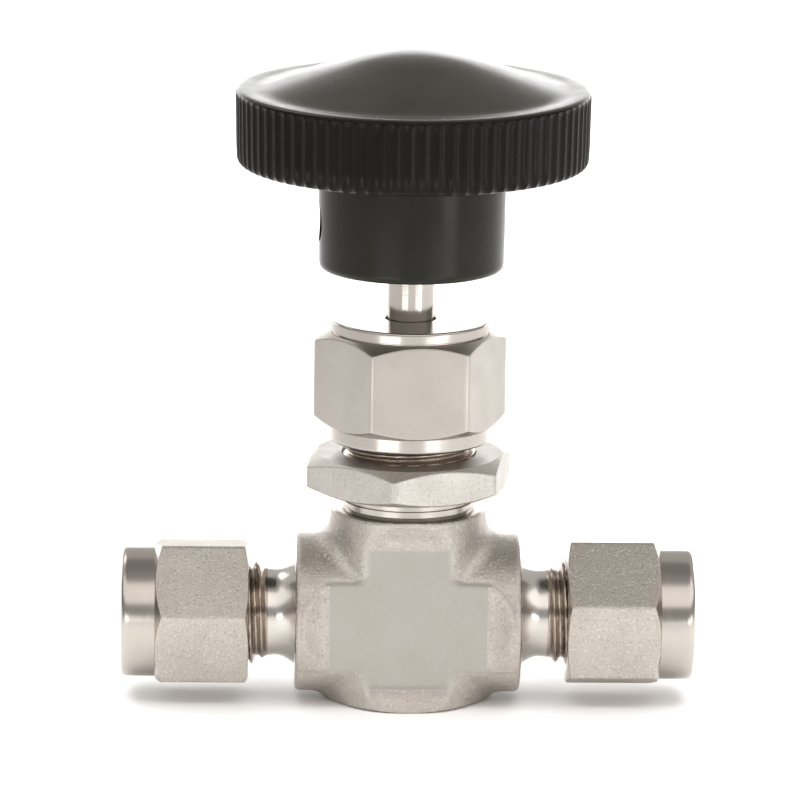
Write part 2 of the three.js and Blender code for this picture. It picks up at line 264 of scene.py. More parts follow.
def turned_steel(name, axis, pitch_mm=0.11, groove=0.003, rough=(0.14, 0.26), shade=STEEL_WARM):
    """Stainless steel with fine turning lines that run round the given axis."""
    m = new_material(name)
    x, y, z = m.axis_parts()
    centre_z = m.math("SUBTRACT", z, CENTRE.z)
    along, across_a, across_b = (z, x, y) if axis == "Z" else (x, y, centre_z)
    squares = m.math("ADD", m.math("MULTIPLY", across_a, across_a), m.math("MULTIPLY", across_b, across_b))
    radius = m.math("SQRT", squares)
    spiral = m.math("ADD", along, m.math("MULTIPLY", radius, 1.37))
    line_place = m.put("ShaderNodeCombineXYZ", X=spiral).outputs[0]
    lines = m.noise(1 / (pitch_mm * MM), 2, 0.7, vector=line_place)
    wide_lines = m.noise(1 / (pitch_mm * 7 * MM), 2, 0.5, vector=line_place)
    patches = m.noise(1 / (4.0 * MM), 3, 0.5)
    specks = m.noise(1 / (0.16 * MM), 2, 0.5)
    colour = m.mix(m.ramp(patches, 0.35, 0.75, 0, 0.25), shade, STEEL_DARK)
    colour = m.mix(m.ramp(specks, 0.6, 0.8, 0, 0.3), colour, STEEL_LIGHT)
    normal = m.bump(lines, groove, 0.7)
    normal = m.bump(wide_lines, 4 * groove, 0.8, normal)
    roughness = m.ramp(m.math("ADD", wide_lines, patches), 0.6, 1.4, *rough)
    return m.finish(Base_Color=colour, Metallic=1.0, Roughness=roughness, Normal=normal)


def phenolic(name, dark, light, ior):
    """Near-black moulded phenolic: glossy, with faint flow marks and dust."""
    m = new_material(name)
    flow = m.noise(1 / (5.0 * MM), 5, 0.6)
    pores = m.noise(1 / (0.25 * MM), 2, 0.5)
    dust = m.noise(1 / (0.5 * MM), 2, 0.6)
    colour = m.mix(m.ramp(flow, 0.3, 0.7), dark, light)
    colour = m.mix(m.ramp(dust, 0.76, 0.82, 0, 0.2), colour, PHENOLIC_DUST)
    normal = m.bump(pores, 0.006, 0.35)
    normal = m.bump(flow, 0.05, 0.25, normal)
    rough = m.ramp(flow, 0.3, 0.7, 0.18, 0.28)
    return m.finish(Base_Color=colour, Roughness=rough, Normal=normal, IOR=ior)


def brass():
    """Turned brass with faint stains."""
    m = new_material("brass_turned")
    lines = m.noise(1 / (0.12 * MM), 2, 0.6)
    stain = m.noise(1 / (1.6 * MM), 4, 0.6)
    colour = m.mix(m.ramp(stain, 0.35, 0.7), BRASS_CLEAN, BRASS_STAINED)
    rough = m.ramp(stain, 0.3, 0.7, 0.2, 0.4)
    return m.finish(Base_Color=colour, Metallic=1.0, Roughness=rough, Normal=m.bump(lines, 0.006, 0.6))


def ptfe():
    """Waxy white packing."""
    m = new_material("ptfe_white")
    mottle = m.noise(1 / (0.8 * MM), 3, 0.5)
    colour = m.mix(m.ramp(mottle, 0.3, 0.7), PTFE_CLEAN, PTFE_SHADED)
    rough = m.ramp(mottle, 0.3, 0.7, 0.42, 0.55)
    return m.finish(Base_Color=colour, Roughness=rough, Normal=m.bump(mottle, 0.02, 0.4),
                    Subsurface_Weight=0.15, Subsurface_Scale=0.002)


FORGED = blasted_steel("forged_steel_blasted", grain_mm=0.28, grain_height=0.022, speckle=0.6,
                       rough=(0.38, 0.52))
TUMBLED = blasted_steel("tumbled_steel_tube_nuts", grain_mm=0.24, grain_height=0.02, speckle=0.75,
                        rough=(0.42, 0.54), shade=STEEL_NUT)
CLEAN_BLASTED = blasted_steel("clean_blasted_steel_panel_nut", grain_mm=0.24, grain_height=0.012,
                              speckle=0.5, rough=(0.36, 0.48), shade=STEEL_PALE)
MILLED = blasted_steel("milled_steel_flats", grain_mm=0.2, grain_height=0.003, speckle=0.12,
                       rough=(0.32, 0.42))
PAD = blasted_steel("milled_steel_body_pads", grain_mm=0.2, grain_height=0.003, speckle=0.12,
                    rough=(0.34, 0.44), shade=STEEL_PAD)
TURNED_Z = turned_steel("turned_steel_about_stem", "Z")
TURNED_X = turned_steel("turned_steel_about_flow", "X")
# Lighter turned steel as painted light, for the tube ends and boss ends.
PAINTED_LIGHT_X = turned_steel("turned_steel_painted_light_about_flow", "X", shade=STEEL_PAINTED_LIGHT)
# The threads use the darker brown steel as painted shade.
THREAD_Z = turned_steel("thread_painted_shade_about_stem", "Z", shade=STEEL_THREAD_PAINTED_SHADE)
THREAD_X = turned_steel("thread_painted_shade_about_flow", "X", shade=STEEL_THREAD_PAINTED_SHADE)
POLISHED = turned_steel("polished_steel_stem", "Z", pitch_mm=0.08, groove=0.0015, rough=(0.09, 0.17))
# The hub and top are a slightly lighter black: painted light that offsets the shade the rim casts on the
# hub. The ribbed rim is a darker black: painted shade in its ribs.
PHENOLIC = phenolic("phenolic_black", dark=(0.0125, 0.0118, 0.0072, 1), light=(0.018, 0.017, 0.011, 1),
                    ior=1.31)
PHENOLIC_RIBS_PAINTED_SHADE = phenolic("phenolic_black_ribs_painted_shade", dark=(0.0035, 0.003, 0.0015, 1),
                         light=(0.0065, 0.0055, 0.003, 1), ior=1.24)
BRASS = brass()
PTFE = ptfe()


# ---- Mesh helpers ---------------------------------------------------------------------------

def make_object(name, vertices_mm, faces, materials, face_slots):
    """A mesh object in the row frame, from vertices in millimetres about the valve's centre."""
    mesh = bpy.data.meshes.new(name)
    points = np.asarray(vertices_mm, float) * MM + np.array(CENTRE)
    mesh.from_pydata(points.tolist(), [], faces)
    for material in materials:
        mesh.materials.append(material)
    mesh.polygons.foreach_set("material_index", np.asarray(face_slots, np.int32))
    work = bmesh.new()
    work.from_mesh(mesh)
    bmesh.ops.remove_doubles(work, verts=work.verts, dist=1e-7)
    bmesh.ops.recalc_face_normals(work, faces=work.faces)
    for face in work.faces:
        face.smooth = True
    work.to_mesh(mesh)
    work.free()
    mesh.set_sharp_from_angle(angle=SHARP_ANGLE)
    made = bpy.data.objects.new(name, mesh)
    bpy.context.scene.collection.objects.link(made)
    return made


def turn(name, angles, columns, materials, slots=0, axis="Z", side=1, closed=False):
    """A body of revolution whose profile may change with the angle.

    columns[angle][point] is (radius, height). Heights run along Z, or along X towards the side.
    slots gives the material of each stretch of the profile, or one number for all of them.
    """
    columns = np.asarray(columns, float)
    if columns.ndim == 2:
        columns = np.repeat(columns[None], len(angles), axis=0)
    count, points = columns.shape[:2]
    radius, height = columns[..., 0], columns[..., 1]
    cosine, sine = np.cos(angles)[:, None], np.sin(angles)[:, None]
    if axis == "Z":
        corners = np.stack([radius * cosine, radius * sine, height], -1)
    else:
        corners = np.stack([side * height, radius * cosine, radius * sine], -1)
    stretches = points if closed else points - 1
    around = np.arange(count)[:, None]
    along = np.arange(stretches)[None]
    after, beyond = (around + 1) % count, (along + 1) % points
    quads = np.stack([around * points + along, after * points + along,
                      after * points + beyond, around * points + beyond], -1).reshape(-1, 4)
    if np.isscalar(slots):
        slots = [slots] * stretches
    face_slots = np.tile(np.asarray(slots), count)
    return make_object(name, corners.reshape(-1, 3), quads.tolist(), materials, face_slots)


def even_angles(count):
    return np.arange(count) * 2 * math.pi / count


def rounded(points, radii, slots, closed=False, steps=3):
    """Rounds a profile's corners with short arcs, and repeats each stretch's material on them.

    points is [point][2] or [angle][point][2]. A corner of radius 0 stays sharp.
    """
    points = np.asarray(points, float)
    count = points.shape[-2]
    result, new_slots = [], []
    for index in range(count):
        corner = points[..., index, :]
        ends_here = not closed and index in (0, count - 1)
        slot_before = slots[(index - 1) % len(slots)]
        slot_after = slots[index % len(slots)]
        if ends_here or radii[index] == 0:
            result.append(corner)
            new_slots.append(slot_after)
            continue
        before = points[..., (index - 1) % count, :] - corner
        after = points[..., (index + 1) % count, :] - corner
        length_before = np.linalg.norm(before, axis=-1, keepdims=True)
        length_after = np.linalg.norm(after, axis=-1, keepdims=True)
        reach = np.minimum(radii[index], 0.3 * np.minimum(length_before, length_after))
        start = corner + before / length_before * reach
        end = corner + after / length_after * reach
        result.append(start + before / length_before * reach * 0.5)
        new_slots.append(slot_before)
        for step in range(steps + 1):
            t = step / steps
            result.append((1 - t) ** 2 * start + 2 * t * (1 - t) * corner + t ** 2 * end)
            new_slots.append(slot_before if t < 0.5 else slot_after)
        result.append(end + after / length_after * reach * 0.5)
        new_slots.append(slot_after)
    profile = np.stack(result, -2)
    return profile, (new_slots if closed else new_slots[:-1])


def hex_angles(first_corner):
    """Angles round a hexagon, close together at its corners."""
    offsets = [0, 0.25, 0.5, 0.8, 1.2, 1.8, 2.8, 4.5]
    offsets += list(np.arange(6.5, 30, 2.0))
    half = np.array(offsets + [30])
    pattern = np.concatenate([half, 60 - half[-2:0:-1]])
    degrees = np.concatenate([first_corner + 60 * k + pattern for k in range(6)])
    return np.radians(degrees)


def hex_radius(angles, first_corner, across_flats, sharpness=90):
    """Distance from the axis to a hexagon with slightly rounded corners."""
    faces = np.radians(first_corner + 30 + 60 * np.arange(6))
    cosines = np.maximum(np.cos(angles[:, None] - faces[None]), 0)
    return across_flats / 2 / (cosines ** sharpness).sum(1) ** (1 / sharpness)


def ridge(phase):
    """A thread's section over one pitch: narrow crest, narrow root, straight flanks."""
    triangle = 1 - np.abs(2 * (phase % 1) - 1)
    level = np.clip((triangle - 0.14) / 0.72, 0, 1)
    return level * level * (3 - 2 * level) * 0.4 + level * 0.6


def thread_stretch(angles, crest, depth, start, end, pitch, fade_start, fade_end, handed=1):
    """Columns of (radius, height) for a right-hand outer thread, which fades out at its ends.

    handed is -1 on the tube end that points along -X, where turn() mirrors the shape.
    """
    steps = int(round((end - start) / pitch * (20)))
    heights = np.linspace(start, end, steps + 1)
    phase = (heights[None] - handed * pitch * angles[:, None] / (2 * math.pi)) / pitch
    fade = np.clip((heights - start) / fade_start, 0, 1) * np.clip((end - heights) / fade_end, 0, 1)
    radius = crest - depth * (1 - ridge(phase) * fade[None])
    return np.stack([radius, np.repeat(heights[None], len(angles), 0)], -1)


def joined(name, parts):
    """Joins mesh objects into one."""
    bpy.ops.object.select_all(action="DESELECT")
    for part in parts:
        part.select_set(True)
    bpy.context.view_layer.objects.active = parts[0]
    bpy.ops.object.join()
    parts[0].name = name
    parts[0].data.name = name
    return parts[0]


def shown(piece, body, slot, *nodes):
    """Ties a finished piece to its body and hides the CAD nodes it stands for; the name of its finish is not
    used.
    """
    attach(piece, body)
    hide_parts(*nodes)


# ---- Forging: a surface drawn from a distance function ---------------------------------------

def blend_min(a, b, width):
    mix = np.clip(0.5 + 0.5 * (b - a) / width, 0, 1)
    return b + (a - b) * mix - width * mix * (1 - mix)


def blend_max(a, b, width):
    return -blend_min(-a, -b, width)


def passage_distance(p, start, end):
    """Distance to the wall of a drilled passage between two points, negative inside it."""
    start = np.array(start)
    along = np.array(end) - start
    share = np.clip((p - start) @ along / (along @ along), 0, 1)
    return np.linalg.norm(p - start - share[..., None] * along, axis=-1) - PASSAGE_R


def cavity_distance(p):
    """Negative inside the stem bore, the seat, the passages and the ports."""
    x, y, z = p[..., 0], p[..., 1], p[..., 2]
    radius = np.hypot(x, y)
    bore = np.maximum(radius - STEM_BORE_R, STEM_BORE_BOTTOM - z)
    seat_radius = np.clip(SEAT_R + 1.2 * (z - SEAT_Z), SEAT_R, CHAMBER_R)
    seat = np.maximum(radius - seat_radius, ORIFICE_BOTTOM - z)
    ports = np.maximum(np.hypot(y, z) - PORT_BORE_R, 9.5 - np.abs(x))
    inlet_passage = passage_distance(p, (-10, 0, -0.4), (0, 0, -2.6))
    outlet_passage = passage_distance(p, (10, 0, 0.4), (1, 0, 3.4))
    return np.minimum.reduce([bore, seat, ports, inlet_passage, outlet_passage])


def forging_distance(p):
    """Negative inside the forging. p is [...][3] in millimetres."""
    x, y, z = p[..., 0], p[..., 1], p[..., 2]
    barrel = np.hypot(x, y) - BARREL_R
    barrel = blend_max(barrel, BARREL_BOTTOM - z, 0.7)
    barrel = blend_max(barrel, z - BARREL_TOP, 0.3)
    boss = blend_max(np.hypot(y, z) - BOSS_R, np.abs(x) - BOSS_END, 0.7)
    fillet_loss = FILLET_AT_MIDDLE - FILLET_AT_FLATS
    fillet = FILLET_AT_MIDDLE - fillet_loss * np.clip(np.abs(y) / FLAT_Y, 0, 1) ** 2
    whole = np.maximum(blend_min(barrel, boss, fillet), np.maximum(z - BARREL_TOP, BARREL_BOTTOM - z))
    past_flat = np.maximum(np.abs(x) - FLAT_END, 0.8 * (z - FLAT_TOP))
    ramp = 0.35 * (past_flat + np.sqrt(past_flat ** 2 + 0.25))
    swell = 0.14 * np.clip(FLAT_BOTTOM - z, 0, None) ** 2
    whole = blend_max(whole, 0.8 * (np.abs(y) - FLAT_Y - ramp - swell), 0.3)
    return np.maximum(whole, -cavity_distance(p))


def surface_net(distance, low, high, cell):
    """Vertices and quads where the distance function is zero, on a grid of the given cell."""
    axes = [np.arange(low[k], high[k] + cell, cell) for k in range(3)]
    grid = np.stack(np.meshgrid(*axes, indexing="ij"), -1)
    value = distance(grid)
    inside = value < 0
    cells = tuple(n - 1 for n in value.shape)
    # A cell's vertex is the mean of the points where the surface crosses the cell's edges.
    total = np.zeros(cells + (3,))
    hits = np.zeros(cells)
    for axis in range(3):
        first = [slice(0, n) for n in value.shape]
        second = list(first)
        first[axis], second[axis] = slice(0, -1), slice(1, None)
        crosses = inside[tuple(first)] != inside[tuple(second)]
        va, vb = value[tuple(first)], value[tuple(second)]
        share = np.where(crosses, va / np.where(crosses, va - vb, 1), 0)
        place = grid[tuple(first)].copy()
        place[..., axis] += share * cell
        others = [k for k in range(3) if k != axis]
        for da in (0, 1):
            for db in (0, 1):
                pick = [slice(0, cells[k]) for k in range(3)]
                pick[others[0]] = slice(da, da + cells[others[0]])
                pick[others[1]] = slice(db, db + cells[others[1]])
                chosen = crosses[tuple(pick)]
                total += np.where(chosen[..., None], place[tuple(pick)], 0)
                hits += chosen
    used = hits > 0
    number = np.full(cells, -1)
    number[used] = np.arange(used.sum())
    vertices = total[used] / hits[used][:, None]
    # Each crossed grid edge makes a quad between the four cells round it.
    quads = []
    for axis in range(3):
        a, b = [k for k in range(3) if k != axis]
        first = [slice(1, n - 1) for n in value.shape]
        second = list(first)
        first[axis], second[axis] = slice(0, -1), slice(1, None)
        crosses = inside[tuple(first)] != inside[tuple(second)]
        spot = np.argwhere(crosses)
        spot[:, a] += 1
        spot[:, b] += 1
        ring = []
        for da, db in ((0, 0), (1, 0), (1, 1), (0, 1)):
            index = spot.copy()
            index[:, a] -= da
            index[:, b] -= db
            ring.append(number[tuple(index.T)])
        quads.append(np.stack(ring, -1))
    return vertices, np.concatenate(quads)


def pulled_on(distance, vertices, rounds=4, step=0.02):
    """Moves vertices on to the surface along the slope of the distance function."""
    for _ in range(rounds):
        value = distance(vertices)
        rises = [distance(vertices + move) - distance(vertices - move) for move in step * np.eye(3)]
        slope = np.stack(rises, -1) / (2 * step)
        size = np.maximum((slope ** 2).sum(-1), 0.2)
        vertices = vertices - np.clip(value / size, -0.1, 0.1)[:, None] * slope
    return vertices


def make_forging():
    cell = 0.2
    low = (-BOSS_END - 0.5, -BARREL_R - 0.5, BARREL_BOTTOM - 0.5)
    high = (BOSS_END + 0.5, BARREL_R + 0.5, BARREL_TOP + 0.5)
    vertices, quads = surface_net(forging_distance, low, high, cell)
    vertices = pulled_on(forging_distance, vertices)
    middle = vertices[quads].mean(1)
    outward = np.abs(middle[:, 1])
    finish = np.where((outward > FLAT_Y - 0.1) & (outward < FLAT_Y + 0.06), 1, 0)
    finish = np.where(middle[:, 2] > BARREL_TOP - 0.1, 2, finish)
    finish = np.where(np.abs(middle[:, 0]) > BOSS_END - 0.15, 3, finish)
    return make_object("forging", vertices, quads.tolist(), [FORGED, PAD, TURNED_Z, PAINTED_LIGHT_X], finish)


# ---- Body ------------------------------------------------------------------------------------

def make_neck():
    """The threaded neck for the packing nut and the panel nut, with the packing bore in it."""
    angles = even_angles(160)
    thread = thread_stretch(angles, NECK_THREAD_R, 0.55, NECK_THREAD_START, NECK_TOP - 0.2, NECK_PITCH,
                            fade_start=0.5, fade_end=0.6)
    groove_r = NECK_RING_R - 0.25
    root = BARREL_TOP - 1.2
    lower = [(STEM_BORE_R, root), (groove_r, root), (groove_r, BARREL_TOP + 0.15),
             (NECK_RING_R, BARREL_TOP + 0.3), (NECK_RING_R, 12.3), (groove_r, 12.36), (groove_r, 12.48),
             (NECK_RING_R, 12.54), (NECK_RING_R, 13.15), (6.45, NECK_THREAD_START - 0.05)]
    upper = [(6.3, NECK_TOP), (PACKING_BORE_R + 0.2, NECK_TOP), (PACKING_BORE_R, NECK_TOP - 0.2),
             (PACKING_BORE_R, PACKING_FLOOR), (STEM_BORE_R, PACKING_FLOOR)]
    slots = [0] * len(lower) + [1] * thread.shape[1] + [0] * len(upper)
    columns = with_fixed(angles, lower, thread, upper)
    return turn("neck", angles, columns, [TURNED_Z, THREAD_Z], slots, closed=True)


def make_tube_end(side):
    """A threaded tube end with its groove, flare and tube socket."""
    angles = even_angles(128)
    flare = [(WAIST_R + FLARE_GROWTH * (1 - t) ** 1.7, BOSS_END + FLARE_LENGTH * t)
             for t in np.linspace(0, 1, 12)]
    root = BOSS_END - 0.8
    outside = [(PORT_BORE_R, root), (WAIST_R + FLARE_GROWTH, root)] + flare
    depth = END_THREAD_R - WAIST_R - 0.08
    thread = thread_stretch(angles, END_THREAD_R, depth, END_THREAD_START, END_FACE - 0.35, END_PITCH,
                            fade_start=1.5, fade_end=0.5, handed=side)
    mouth = [(4.75, END_FACE), (4.35, END_FACE), (TUBE_HOLE_R, 20.4), (TUBE_HOLE_R, TUBE_STOP),
             (PORT_BORE_R, TUBE_STOP)]
    slots = [0] * len(outside) + [1] * thread.shape[1] + [0] * len(mouth)
    columns = with_fixed(angles, outside, thread, mouth)
    return turn("tube_end", angles, columns, [PAINTED_LIGHT_X, THREAD_X], slots, axis="X", side=side, closed=True)


def make_body():
    body = joined("valve_body_forging", [make_forging(), make_neck(), make_tube_end(-1), make_tube_end(1)])
    shown(body, "valve_body", "forged_steel", "body")


# ---- Hexagon nuts ----------------------------------------------------------------------------

def hex_points(angles, corner, across_flats, bottom, top, chamfer_r, slope, low_slope=None):
    """Per angle: chamfer foot, lower end of the flat, upper end of the flat, chamfer head.

    low_slope is the lower chamfer's slope, where it isn't the same as the upper one's.
    """
    flat = hex_radius(angles, corner, across_flats)
    reach = flat - chamfer_r
    fixed = np.full_like(flat, chamfer_r)
    return np.stack([
        np.stack([fixed, np.full_like(flat, bottom)], -1),
        np.stack([flat, bottom + reach * (low_slope or slope)], -1),
        np.stack([flat, top - reach * slope], -1),
        np.stack([fixed, np.full_like(flat, top)], -1),
    ], 1)


def with_fixed(angles, *runs):
    """Joins runs of points that change with the angle and runs that don't."""
    wide = []
    for run in runs:
        run = np.asarray(run, float)
        wide.append(run if run.ndim == 3 else np.repeat(run[None], len(angles), 0))
    return np.concatenate(wide, 1)


def make_packing_nut():
    corner = PACKING_NUT_TURN - 90
    angles = hex_angles(corner)
    hexagon = hex_points(angles, corner, PACKING_NUT_AF, PACKING_NUT_HEX_BOTTOM, PACKING_NUT_HEX_TOP,
                         chamfer_r=8.5, slope=0.62)
    below = [(NUT_THREAD_R, PACKING_NUT_BOTTOM), (COLLAR_R - 0.27, PACKING_NUT_BOTTOM),
             (COLLAR_R, PACKING_NUT_BOTTOM + 0.25), (COLLAR_R, PACKING_NUT_HEX_BOTTOM)]
    groove_r = DISC_R - 0.15
    stem_hole_r = STEM_R + 0.23
    above = [(groove_r, PACKING_NUT_HEX_TOP), (groove_r, PACKING_NUT_HEX_TOP + 0.13),
             (DISC_R, PACKING_NUT_HEX_TOP + 0.17), (DISC_R, PACKING_NUT_TOP), (stem_hole_r, PACKING_NUT_TOP),
             (stem_hole_r, 28.3), (NUT_THREAD_R, 28.3)]
    points = with_fixed(angles, below, hexagon, above)
    radii = [0.15, 0.1, 0.1, 0] + [0.03, 0.1, 0.1, 0.05] + [0, 0, 0.12, 0.22, 0.15, 0, 0]
    slots = [0] * len(below) + [1, 1, 1, 0] + [0] * len(above)
    columns, slots = rounded(points, radii, slots, closed=True)
    nut = turn("packing_nut_hex", angles, columns, [TURNED_Z, MILLED], slots, closed=True)
    shown(nut, "packing_nut", "turned_steel", "packing_nut")


def make_panel_nut():
    corner = PANEL_NUT_TURN - 90
    angles = hex_angles(corner)
    hexagon = hex_points(angles, corner, PANEL_NUT_AF, PANEL_NUT_BOTTOM, PANEL_NUT_TOP,
                         chamfer_r=9.6, slope=0.47)
    mouth = [(PANEL_NUT_BORE_R, PANEL_NUT_BOTTOM + 0.4), (PANEL_NUT_BORE_R + 0.4, PANEL_NUT_BOTTOM)]
    top = [(PANEL_NUT_BORE_R + 0.05, PANEL_NUT_TOP), (PANEL_NUT_BORE_R, PANEL_NUT_TOP - 0.1)]
    points = with_fixed(angles, mouth, hexagon, top)
    radii = [0, 0.05, 0.08, 0.1, 0.1, 0.08, 0.05, 0]
    columns, _ = rounded(points, radii, [0] * len(radii), closed=True)
    nut = turn("panel_nut_hex", angles, columns, [CLEAN_BLASTED], closed=True)
    shown(nut, "panel_nut", "forged_steel", "panel_nut")


def make_tube_nut(name, side, lift):
    corner = 180 - lift
    angles = hex_angles(corner)
    hexagon = hex_points(angles, corner, NUT_AF, NUT_INNER, NUT_HEX_END,
                         chamfer_r=6.95, slope=0.58, low_slope=0.32)
    mouth = [(END_THREAD_R + 0.15, NUT_INNER + 0.4), (6.0, NUT_INNER)]
    band = [(NUT_BAND_R, NUT_HEX_END), (NUT_BAND_R, NUT_OUTER), (TUBE_HOLE_R, NUT_OUTER)]
    inside = [(TUBE_HOLE_R, 26.6), (4.7, 25.9), (4.7, 24.2), (END_THREAD_R + 0.15, 23.2)]
    points = with_fixed(angles, mouth, hexagon, band, inside)
    radii = [0, 0.1] + [0.08, 0.1, 0.1, 0.08] + [0, 0.6, 0.25] + [0, 0, 0, 0]
    slots = [0] * len(mouth) + [0, 1, 0, 0] + [0] * len(band + inside)
    columns, slots = rounded(points, radii, slots, closed=True)
    nut = turn(name + "_hex", angles, columns, [TURNED_X, TUMBLED], slots, axis="X", side=side, closed=True)
    shown(nut, name, "turned_steel", name)


def make_ferrules(prefix, side):
    angles = even_angles(96)
    front = [(3.25, 20.9), (3.42, 20.9), (4.1, 22.6), (4.35, 22.9), (4.35, 24), (3.9, 24), (3.25, 23.5)]
    back = [(3.25, 23.75), (3.75, 24.2), (3.8, 24.5), (4.35, 24.5), (4.35, 25.6), (4.0, 25.9), (3.25, 25.9)]
    for label, profile in (("front_ferrule", front), ("back_ferrule", back)):
        columns, slots = rounded(profile, [0.08] * 7, [0] * 7, closed=True)
        name = f"{prefix}_{label}"
        ring = turn(name + "_ring", angles, columns, [TURNED_X], slots, axis="X", side=side, closed=True)
        shown(ring, prefix + "_ferrules", "turned_steel", name)


# ---- Stem ------------------------------------------------------------------------------------

def make_stem():
    angles = even_angles(128)
    thread = thread_stretch(angles, STEM_THREAD_R, 0.45, STEM_BOTTOM + 0.3, STEM_THREAD_TOP - 0.3,
                            STEM_PITCH, fade_start=0.4, fade_end=0.4)
    socket_r = 1.5
    socket_top = STEM_BOTTOM + 4.4
    groove_r = 1.95
    groove = STEM_BOTTOM + 2.2
    below = [(0, socket_top), (socket_r, socket_top), (socket_r, groove + 0.8), (groove_r, groove + 0.8),
             (groove_r, groove), (socket_r, groove), (socket_r, STEM_BOTTOM), (2.6, STEM_BOTTOM)]
    above = [(2.55, STEM_THREAD_TOP), (STEM_R, STEM_THREAD_TOP + 0.15), (STEM_R, 30), (STEM_R, 34),
             (STEM_R, 38), (STEM_R, STEM_TOP - 0.4), (2.0, STEM_TOP), (0, STEM_TOP)]
    columns = with_fixed(angles, below, thread, above)
    stem = turn("stem_shank", angles, columns, [POLISHED])
    shown(stem, "handle_and_stem", "polished_steel", "stem")


# ---- Handle ----------------------------------------------------------------------------------

def smoothstep(value):
    value = np.clip(value, 0, 1)
    return value * value * (3 - 2 * value)


def dome_points(steps=40):
    """The knob's top from the valley inside its rim to the middle: round there, then nearly straight."""
    round_share = 0.36
    valley_share = 0.1
    share = np.linspace(1, 0, steps)
    slope = np.minimum(share / round_share, 1 + 0.35 * (share - round_share))
    slope *= smoothstep((1 - share) / valley_share)
    rise = np.concatenate([[0], np.cumsum((slope[1:] + slope[:-1]) / 2)])
    rise *= DOME_RISE / rise[-1]
    return np.stack([share * DOME_R, RIM_TOP - 0.04 + rise], -1)


def make_handle():
    places = np.array([-0.47, -0.38, -0.27, -0.14, 0, 0.14, 0.27, 0.38, 0.47])
    angles = ((np.arange(RIBS)[:, None] + places) * 2 * math.pi / RIBS).ravel()
    rib = np.tile(RIB_DEPTH * (1 - (2 * places) ** 2), RIBS)
    hub = [(0, HUB_HOLE_TOP), (HUB_HOLE_R, HUB_HOLE_TOP), (HUB_HOLE_R, HUB_BOTTOM + 0.3),
           (HUB_HOLE_R + 0.3, HUB_BOTTOM), (HUB_R, HUB_BOTTOM), (HUB_R + 0.15, RIM_BOTTOM),
           (17.2, RIM_BOTTOM)]
    hub, _ = rounded(hub, [0, 0, 0.1, 0.2, 0.6, 0.5, 0], [0] * 6)
    # Each point is (how far inside the rim, height, share of the rib's depth).
    rim = [(0.72, RIM_BOTTOM + 0.05, 0.5), (0.37, RIM_BOTTOM + 0.25, 0.9), (0.17, RIM_BOTTOM + 0.65, 1),
           (0.09, 50.0, 1), (0.06, 52.0, 1), (0.02, RIM_TOP - 1.6, 1), (0, RIM_TOP - 0.9, 1),
           (0, RIM_TOP - 0.7, 0.85), (0.02, RIM_TOP - 0.5, 0.5), (0.06, RIM_TOP - 0.36, 0.2),
           (0.12, RIM_TOP - 0.26, 0)]
    ribbed = np.array([[(RIM_R - inset - depth * share, height) for inset, height, share in rim]
                       for depth in rib])
    lip = [(18.18, RIM_TOP - 0.13), (17.95, RIM_TOP - 0.03), (17.75, RIM_TOP), (17.2, RIM_TOP),
           (16.8, RIM_TOP - 0.01)]
    dome = dome_points()
    columns = with_fixed(angles, hub, ribbed, lip, dome)
    slots = [0] * len(hub) + [1] * len(rim) + [0] * (len(lip) + len(dome) - 1)
    handle = turn("handle_knob", angles, columns, [PHENOLIC, PHENOLIC_RIBS_PAINTED_SHADE], slots)
    cut_screw_hole(handle)
    shown(handle, "handle_and_stem", "phenolic", "handle")


def on_screw_axis(piece):
    """Turns a piece built about X so that it lies along the set screw's axis."""
    to_centre = Matrix.Translation(-CENTRE)
    spin = Matrix.Rotation(math.radians(SCREW_TURN), 4, "Z")
    lift = Matrix.Translation(CENTRE + Vector((0, 0, SCREW_HEIGHT * MM)))
    piece.data.transform(lift @ spin @ to_centre)


def cut_screw_hole(handle):
    angles = even_angles(48)
    mouth_r = SCREW_HOLE_R + 0.25
    profile = [(0, 4.0), (SCREW_HOLE_R, 4.0), (SCREW_HOLE_R, 9.2), (mouth_r, 9.9), (mouth_r, 11), (0, 11)]
    cutter = turn("screw_hole_cutter", angles, profile, [PHENOLIC], axis="X")
    on_screw_axis(cutter)
    cut = handle.modifiers.new("screw_hole", "BOOLEAN")
    cut.operation = "DIFFERENCE"
    cut.solver = "EXACT"
    cut.object = cutter
    bpy.context.view_layer.objects.active = handle
    bpy.ops.object.modifier_apply(modifier=cut.name)
    handle.data.set_sharp_from_angle(angle=SHARP_ANGLE)
    bpy.data.objects.remove(cutter)


def make_set_screw():
    angles = hex_angles(0)
    thread = thread_stretch(angles, SCREW_R, 0.3, SCREW_TIP + 0.25, SCREW_FACE - 0.2, pitch=0.7,
                            fade_start=0.3, fade_end=0.3)
    socket = hex_radius(angles, 0, SCREW_SOCKET_AF)
    socket_heights = (SCREW_FACE - 0.1, SCREW_FACE - 1.9)
    inner = np.stack([np.stack([socket, np.full_like(socket, height)], -1) for height in socket_heights], 1)
    tip = [(0, SCREW_TIP), (1.1, SCREW_TIP)]
    face = [(1.35, SCREW_FACE), (1.25, SCREW_FACE)]
    columns = with_fixed(angles, tip, thread, face, inner, [(0, SCREW_FACE - 2.3)])
    screw = turn("set_screw_headless", angles, columns, [TURNED_X], axis="X")
    on_screw_axis(screw)
    shown(screw, "handle_and_stem", "turned_steel", "handle_set_screw")


# ---- CAD nodes that stay ----------------------------------------------------------------------

def dress(node, material):
    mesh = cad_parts[node].data
    mesh.materials.clear()
    mesh.materials.append(material)


def dress_inner_nodes():
    for node in ("lower_packing", "middle_packing", "upper_packing"):
        dress(node, PTFE)
    for node in ("packing_washer", "packing_gland", "needle_tip"):
        dress(node, TURNED_Z)
    dress("tip_retaining_ring", POLISHED)
    dress("handle_insert", BRASS)


# ---- Camera, floor and lights -----------------------------------------------------------------

